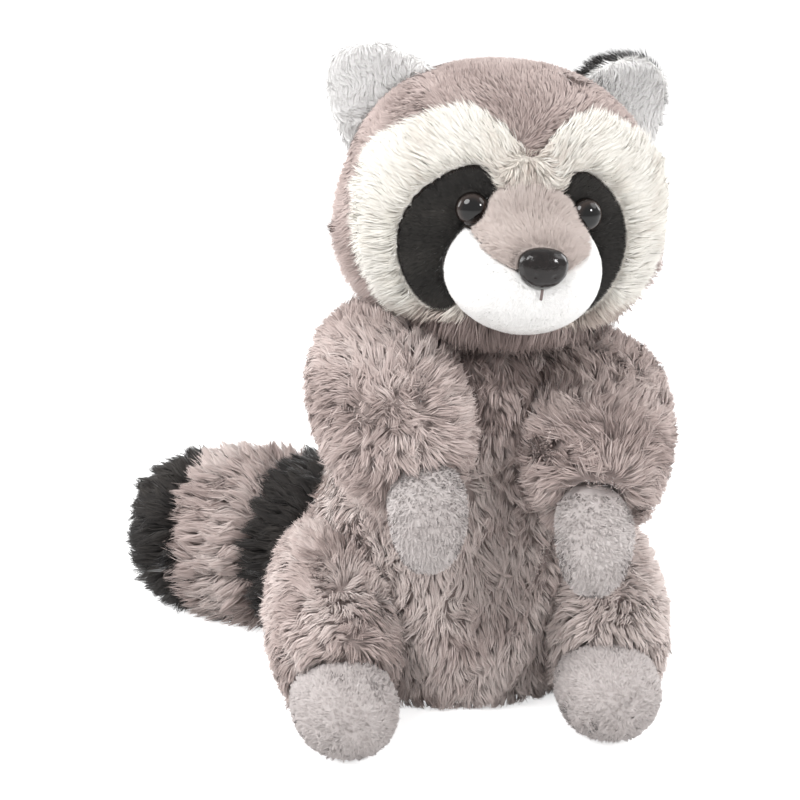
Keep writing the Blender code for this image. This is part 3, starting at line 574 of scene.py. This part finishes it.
def dressed(nodes, mesh, coat, pile, surface, slot):
    """One piece: the skin with its pile, on one palette."""
    points, shading, bucket = pile
    template, faces = coat["fibre"]
    count, per_fibre = points.shape[:2]
    skin_points = read(mesh.vertices, "co", 3)
    skin_normals = read(mesh.vertex_normals, "vector", 3)
    skin_loops = read(mesh.loops, "vertex_index", 1, np.int32)
    skin_sizes = read(mesh.polygons, "loop_total", 1, np.int32)
    # The skin's faces take the shade at the pile's roots, and so their painted shade
    corner = np.arange(len(skin_loops)) - np.repeat(np.cumsum(skin_sizes) - skin_sizes, skin_sizes)
    u = 0.5 + SKIN_PATCH * ((corner == 1) | (corner == 2))
    v = SKIN_PATCH / 2 + SKIN_PATCH * (corner >= 2)
    palette = [np.stack([u, v], axis=1)]
    loops, sizes = [skin_loops], [skin_sizes]
    starts = np.arange(count, dtype=np.int32)[:, None] * per_fibre + len(skin_points)
    across = 0.5 + 0.35 * template[:, 0] + 0.15 * template[:, 1]
    for face in faces:
        loops.append((starts + np.array(face, np.int32)).ravel())
        sizes.append(np.full(count, len(face), np.int32))
        u = (bucket[:, None] + 0.15 + 0.7 * across[face]) / TINTS
        v = np.broadcast_to(0.03 + 0.94 * template[face, 2], u.shape)
        palette.append(np.stack([u.ravel(), v.ravel()], axis=1))
    loops, sizes = np.concatenate(loops).astype(np.int32), np.concatenate(sizes).astype(np.int32)
    name = (nodes[0] if len(nodes) == 1 else nodes[0].rsplit("_", 1)[0]) + "_plush"
    made = bpy.data.meshes.new(name)
    all_points = np.concatenate([skin_points, points.reshape(-1, 3)]).astype(np.float32)
    made.vertices.add(len(all_points))
    made.vertices.foreach_set("co", all_points.ravel())
    made.loops.add(len(loops))
    made.loops.foreach_set("vertex_index", loops)
    made.polygons.add(len(sizes))
    made.polygons.foreach_set("loop_start", (np.cumsum(sizes) - sizes).astype(np.int32))
    made.update(calc_edges=True)
    chart = made.uv_layers.new(name=PALETTE)
    chart.data.foreach_set("uv", np.concatenate(palette).astype(np.float32).ravel())
    made.polygons.foreach_set("use_smooth", np.ones(len(sizes), bool))
    made.normals_split_custom_set_from_vertices(np.concatenate([skin_normals, shading.reshape(-1, 3)]))
    made.materials.append(surface)
    piece = bpy.data.objects.new(name, made)
    bpy.context.scene.collection.objects.link(piece)
    bpy.data.meshes.remove(mesh)
    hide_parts(*nodes)
    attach(piece, "root")


# How the pile is combed

def away_from(source):
    """Combed out from a place."""
    source = np.array(source)
    return lambda place, normal: unit(place - source)


def towards(direction, spread_from=(0, 0, 0), spread=0.0):
    """Combed one way, and a little out from a middle."""
    direction = np.array(direction, float)
    return lambda place, normal: unit(direction + spread * unit(place - np.array(spread_from)))


def radial(source, fall):
    """Out from a place, and a share of the way down."""
    outward = away_from(source)
    down = np.array((0, 0, -1.0))
    return lambda place, normal: unit(outward(place, normal) + fall * down)


def with_crown(base, crown, reach):
    """Combed as the base says, but bursting out of a ragged crown, where the pile stands up."""
    crown = np.array(crown)

    def comb(place, normal):
        out = place - crown + 3 * MM * swirl(place, 6 * MM, 7)
        gone = np.linalg.norm(out, axis=1, keepdims=True)
        near = np.exp(-(gone / reach) ** 2)
        flow = unit(unit(base(place, normal)) * (1 - near) + unit(out) * near * 1.2)
        return flow * (1 - 0.85 * np.exp(-(gone / (5 * MM)) ** 2))
    return comb


def over_brow(base):
    """Combed down over the nose's bridge where the panels meet, and as the base says elsewhere."""
    share = around(between_brows(), 12 * MM, 1.0, 0.0)
    down = np.array((0, -0.3, -1.0))

    def comb(place, normal):
        near = share(place)[:, None]
        return unit(base(place, normal) * (1 - near) + down * near)
    return comb


def along_tail(place, normal):
    """Out along the tail to its tip."""
    line = tail_line()
    ways = np.gradient(line, axis=0)
    nearest = np.argmin(np.linalg.norm(place[:, None, :] - line[None], axis=2), axis=1)
    return unit(ways[nearest])


def along_arm(name):
    """Out of a crown on the sleeve's front and down to the paw."""
    share = (0.54, 0.66) if name == "right" else (0.42, 0.28)
    crown = front_of(f"arm_{name}", *share)
    return with_crown(radial(crown, 0.3), crown, 12 * MM)


def over_thigh(name):
    """Out of the thigh's top, and down to the foot."""
    inner = 0.6 if name == "right" else 0.4
    return radial(front_of(f"leg_{name}", inner, 1.25), 0.3)


# How the pile's length and shade change over a piece

def steady(value):
    """One value all over."""
    return lambda place: np.full(len(place), value)


def graded(level, above, below, width=30 * MM):
    """One value above a level and another below it, eased over a width."""
    def value(place):
        fall = np.clip((level + width / 2 - place[:, 2]) / width, 0, 1)
        return above + (below - above) * fall
    return value


def around(middle, reach, near, far):
    """One value at a place, eased to another away from it."""
    def value(place):
        gone = np.linalg.norm(place - np.array(middle), axis=1)
        return far + (near - far) * np.exp(-(gone / reach) ** 2)
    return value


def least(*values):
    """The lowest of several values at each place."""
    return lambda place: np.min([value(place) for value in values], axis=0)


def longer_from(middle, near, far, shortest):
    """Pile trimmed short near a place, and whole from a distance on."""
    def trim(place):
        gone = np.linalg.norm(place - np.array(middle), axis=1)
        return shortest + (1 - shortest) * np.clip((gone - near) / (far - near), 0, 1)
    return trim


def painted_chest_shade(place):
    """Painted shade in the torso's fur: deeper in front, where the arms and the chin keep the light off.
    """
    middle = middle_of("torso")
    front = np.clip((middle.y + 10 * MM - place[:, 1]) / (20 * MM), 0, 1)
    deep = least(graded(CHEST_HEIGHT, 0.12, 0.84), graded(NECK_HEIGHT, 0.0, 1.0))(place)
    return 0.7 + (deep - 0.7) * front


# Coats of pile

def coat(fibre, length, width, density, lift, clump, pull, tousle, swirl, relief, **cut):
    """How a fabric's pile is cut and lies: sizes in millimetres, lift in degrees, density in fibres
    to the square millimetre."""
    made = dict(fibre=fibre, length=length * MM, width=width * MM, density=density, lift=lift,
                clump=clump * MM, pull=pull, tousle=tousle, swirl=swirl * MM,
                relief=relief, ragged=2 * relief, mottle=0.5 + relief,
                trim=steady(1.0), tone=steady(0.5))
    return dict(made, **cut)


def make_long_pile(materials):
    """The furry pieces."""
    body_coat = coat(LONG_FIBRE, length=7.5, width=0.43, density=3.3, lift=38, clump=2.6,
                     pull=0.5, tousle=0.8, swirl=9, relief=0.32)
    # Its tone is painted shade on the chest and, deeper, at the neck
    torso_coat = dict(body_coat, density=2.05, tousle=0.5, tone=painted_chest_shade)
    crown_coat = coat(LONG_FIBRE, length=9, width=0.38, density=2.9, lift=36, clump=2.2,
                      pull=0.35, tousle=0.45, swirl=12, relief=0.06,
                      trim=graded(HEAD_MIDDLE.z, 0.42, 1.35),
                      # Darkest below the head's middle: painted shade on the fringe under the chin
                      tone=graded(HEAD_MIDDLE.z - 36 * MM, 0.38, 0.0, 16 * MM))
    panel_coat = coat(LONG_FIBRE, length=8, width=0.41, density=5.4, lift=33, clump=2.2,
                      pull=0.25, tousle=0.35, swirl=14, relief=0.12,
                      trim=longer_from(NOSE_MIDDLE, 20 * MM, 60 * MM, 0.5),
                      # Darkest, a brownish cream, at the panels' foot; darker too where they meet between
                      # the brows, partly the bridge's grey mixing in and partly painted shade in the V
                      # there
                      tone=least(graded(HEAD_MIDDLE.z - 33 * MM, 0.75, 0.0, 8 * MM),
                                 around(between_brows(), 14 * MM, 0.1, 0.75)))
    # Its tone is lighter than the body's: painted light on the tail
    tail_coat = coat(LONG_FIBRE, length=11, width=0.47, density=2.5, lift=48, clump=3.8,
                     pull=0.7, tousle=0.4, swirl=12, relief=0.40, tone=steady(0.62))
    down_torso = towards((0, -0.15, -1), middle_of("torso"), 0.3)
    out_of_face = over_brow(away_from(NOSE_MIDDLE + Vector((0, 20 * MM, 0))))
    jobs = [
        (["torso"], "grey_long_pile", down_torso, torso_coat, 4.0, 1.0),
        (["head"], "grey_long_pile", away_from(FOREHEAD), crown_coat, 3.0, 1.0),
        (["face_panel_right", "face_panel_left"], "cream_long_pile", out_of_face, panel_coat, 1.6, 0.0),
    ]
    for name, _ in SIDES:
        cuff = front_of(f"paw_{name}", 0.5, 0.75)
        # Lighter and darker sleeves and thighs: painted light and shade for how the light falls on each
        # side, the left thigh much the lightest
        sleeve_painted_light, thigh_painted_light = (0.55, 0.6) if name == "right" else (0.4, 1.05)
        sleeve = dict(body_coat, trim=around(cuff, 26 * MM, 1.6, 1.0), tone=steady(sleeve_painted_light))
        thigh = dict(body_coat, tousle=0.6, relief=0.25, ragged=0.5, tone=steady(thigh_painted_light))
        jobs += [
            ([f"arm_{name}"], "grey_long_pile", along_arm(name), sleeve, 3.5, 1.0),
            ([f"leg_{name}"], "grey_long_pile", over_thigh(name), thigh, 3.5, 1.0),
        ]
    for ring in ("tail_ring_1", "tail_ring_2", "tail_ring_3", "tail_tip"):
        slot = "black_long_pile" if ring in ("tail_ring_2", "tail_tip") else "grey_long_pile"
        jobs.append(([ring], slot, along_tail, tail_coat, 3.5, 1.0))
    for k, (nodes, slot, comb, cut, voxel, inset) in enumerate(jobs):
        mesh = skin(nodes, voxel * MM, 6, inset * MM)
        hidden = covered(mesh, nodes, 2.0 * MM + inset * MM)
        pile = grow(mesh, hidden, comb, cut, 100 + 10 * k)
        dressed(nodes, mesh, cut, pile, materials[slot], slot)


def make_short_pile(materials):
    """The clipped plush and nap pieces."""
    plush = coat(SHORT_FIBRE, length=1.6, width=0.42, density=7.0, lift=15, clump=1.2,
                 pull=0.15, tousle=0.25, swirl=8, relief=0.03, mottle=0.12,
                 # Darker at the chin: painted shade under the muzzle
                 tone=graded(NOSE_MIDDLE.z - 19 * MM, 0.9, 0.08, 20 * MM))
    bridge = coat(SHORT_FIBRE, length=9.5, width=0.38, density=10.0, lift=26, clump=1.8,
                  pull=0.3, tousle=0.3, swirl=8, relief=0.15,
                  trim=around(between_brows(), 11 * MM, 1.0, 0.3))
    patch = coat(SHORT_FIBRE, length=2.2, width=0.42, density=8.0, lift=38, clump=1.4,
                 pull=0.25, tousle=0.35, swirl=8, relief=0.2)
    ear = coat(SHORT_FIBRE, length=3.6, width=0.4, density=8.0, lift=28, clump=1.8,
               pull=0.25, tousle=0.5, swirl=9, relief=0.12, tone=steady(0.85))
    ear_back = coat(SHORT_FIBRE, length=4.0, width=0.5, density=6.0, lift=36, clump=1.8,
                    pull=0.3, tousle=0.35, swirl=9, relief=0.2)
    nap = coat(SHORT_FIBRE, length=1.7, width=0.40, density=7.0, lift=42, clump=1.4,
               pull=0.7, tousle=0.6, swirl=5, relief=0.42, tone=steady(0.6))
    out_of_nose = away_from(NOSE_MIDDLE)
    muzzle = ["muzzle_cheek_right", "muzzle_cheek_left", "chin_panel"]
    jobs = [
        (muzzle, "white_short_plush", out_of_nose, plush, -0.3),
        (["nose_bridge"], "grey_short_plush", out_of_nose, bridge, -0.3),
    ]
    for name, side in SIDES:
        fringe = dict(ear_back, length=(3.9 + 2.6 * side) * MM)
        out_of_foot = away_from(front_of(f"foot_{name}", 0.5, 0.45))
        jobs += [
            ([f"eye_patch_{name}"], "black_short_pile", out_of_nose, patch, 0.0),
            ([f"ear_front_{name}"], "white_short_plush", towards((-0.4 * side, 0, -1)), ear, 0.0),
            ([f"ear_back_{name}"], "black_short_pile", towards((-1, 0, 0.7 * side - 0.3)), fringe,
             0.4 - 0.4 * side),
            ([f"paw_{name}"], "grey_short_nap", towards((0, -0.2, -1)), nap, 0.6),
            ([f"foot_{name}"], "grey_short_nap", out_of_foot, dict(nap, tone=steady(0.4)), 0.4),
        ]
    for k, (nodes, slot, comb, cut, inset) in enumerate(jobs):
        mesh = skin(nodes, 1.3 * MM, 8, inset * MM)
        hidden = covered(mesh, nodes, 1.5 * MM)
        pile = grow(mesh, hidden, comb, cut, 500 + 10 * k)
        dressed(nodes, mesh, cut, pile, materials[slot], slot)


# Eyes, nose and mouth

def finish_hard(bm, node, surface):
    """A moulded piece, smooth but for its sharp edges, in place of its node."""
    mesh = bpy.data.meshes.new(node + "_gloss")
    bm.to_mesh(mesh)
    bm.free()
    mesh.shade_smooth()
    mesh.set_sharp_from_angle(angle=math.radians(50))
    mesh.materials.append(surface)
    piece = bpy.data.objects.new(node + "_gloss", mesh)
    bpy.context.scene.collection.objects.link(piece)
    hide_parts(node)
    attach(piece, "root")


def corners_of(node):
    """The places of a node's points, each taken once."""
    bm = clean_copy([node])
    points = np.array([vert.co[:] for vert in bm.verts])
    bm.free()
    return points


def eye_axis(name):
    """An eye's front point, the way it looks, its radius and its length, from it and its washer."""
    points = corners_of(f"eye_{name}")
    middle = points.mean(axis=0)
    way = middle - corners_of(f"eye_washer_{name}").mean(axis=0)
    way = way / np.linalg.norm(way)
    reach = (points - middle) @ way
    radius = np.linalg.norm(points - middle - np.outer(reach, way), axis=1).max()
    return Vector(middle + way * reach.max()), Vector(way), radius, reach.max() - reach.min()


def eye_material():
    """Glossy moulding: a black pupil in a brown iris, dark at its rim."""
    made, tree, shader = new_material("eye plastic")
    ring = tree.nodes.new("ShaderNodeAttribute")
    ring.attribute_name = "ring"
    shades = ramp(tree, [(0.0, colour(6, 5, 5)), (0.52, colour(7, 6, 6)), (0.62, colour(24, 18, 16)),
                         (0.80, colour(48, 38, 34)), (0.90, colour(30, 24, 22)), (1.0, colour(12, 10, 9))])
    tree.links.new(ring.outputs["Fac"], shades.inputs["Fac"])
    tree.links.new(shades.outputs["Color"], shader.inputs["Base Color"])
    shader.inputs["Roughness"].default_value = 0.05
    shader.inputs["Specular IOR Level"].default_value = 0.35
    return made


def make_eye(name, surface):
    """A domed safety eye with its flange and shank, spun about the way it looks."""
    front, way, radius, length = eye_axis(name)
    dome, flange, shank = 5.0 * MM, 0.8 * MM, 2.0 * MM
    profile = [(radius * math.sin(a), -dome * (1 - math.cos(a)))
               for a in (math.pi / 2 * k / 12 for k in range(13))]
    profile += [(radius, -dome - flange), (shank, -dome - flange), (shank, -length), (0.0, -length)]
    bm = bmesh.new()
    line = [bm.verts.new((r, 0, z)) for r, z in profile]
    edges = [bm.edges.new(pair) for pair in zip(line, line[1:])]
    bmesh.ops.spin(bm, geom=line + edges, cent=(0, 0, 0), axis=(0, 0, 1), angle=2 * math.pi, steps=40,
                   use_merge=True)
    bmesh.ops.remove_doubles(bm, verts=bm.verts, dist=0.01 * MM)
    bmesh.ops.recalc_face_normals(bm, faces=bm.faces)
    share = bm.verts.layers.float.new("ring")
    for vert in bm.verts:
        vert[share] = min(1.0, vert.co.xy.length / radius)
    bmesh.ops.transform(bm, matrix=way.to_track_quat("Z", "Y").to_matrix().to_4x4(), verts=bm.verts)
    bmesh.ops.translate(bm, verts=bm.verts, vec=front)
    finish_hard(bm, f"eye_{name}", surface)


def make_nose():
    """The moulded nose, in black plastic with a faint pebble in its gloss."""
    plastic, shader = grained_material("nose plastic", (16, 12, 12), (28, 22, 21), 700, 2, 0.35, 0.4 * MM)
    shader.inputs["Roughness"].default_value = 0.15
    shader.inputs["Specular IOR Level"].default_value = 0.32
    finish_hard(rounded_form(["nose"], 0.5 * MM, 6), "nose", plastic)


def finish_nodes():
    """The frame's own pieces that stay: washers and the mouth's thread."""
    thread, shader = grained_material("stitching thread", (89, 78, 76), (112, 98, 95), 1800, 3, 0.4,
                                      0.2 * MM)
    shader.inputs["Roughness"].default_value = 0.7
    washer, shader = grained_material("washer plastic", (172, 172, 168), (216, 216, 211), 300, 3, 0.4,
                                      0.05 * MM)
    shader.inputs["Roughness"].default_value = 0.5
    for node in ("mouth_stitch", "nose_washer", "eye_washer_right", "eye_washer_left"):
        slots = NODES[node].data.materials
        slots.clear()
        slots.append(thread if node == "mouth_stitch" else washer)


bpy.context.scene.view_settings.view_transform = "Standard"
make_camera()
make_world()
make_floor()
make_lamps()
FABRICS = make_pile_materials()
make_long_pile(FABRICS)
make_short_pile(FABRICS)
EYE_PLASTIC = eye_material()
for SIDE, _ in SIDES:
    make_eye(SIDE, EYE_PLASTIC)
make_nose()
finish_nodes()
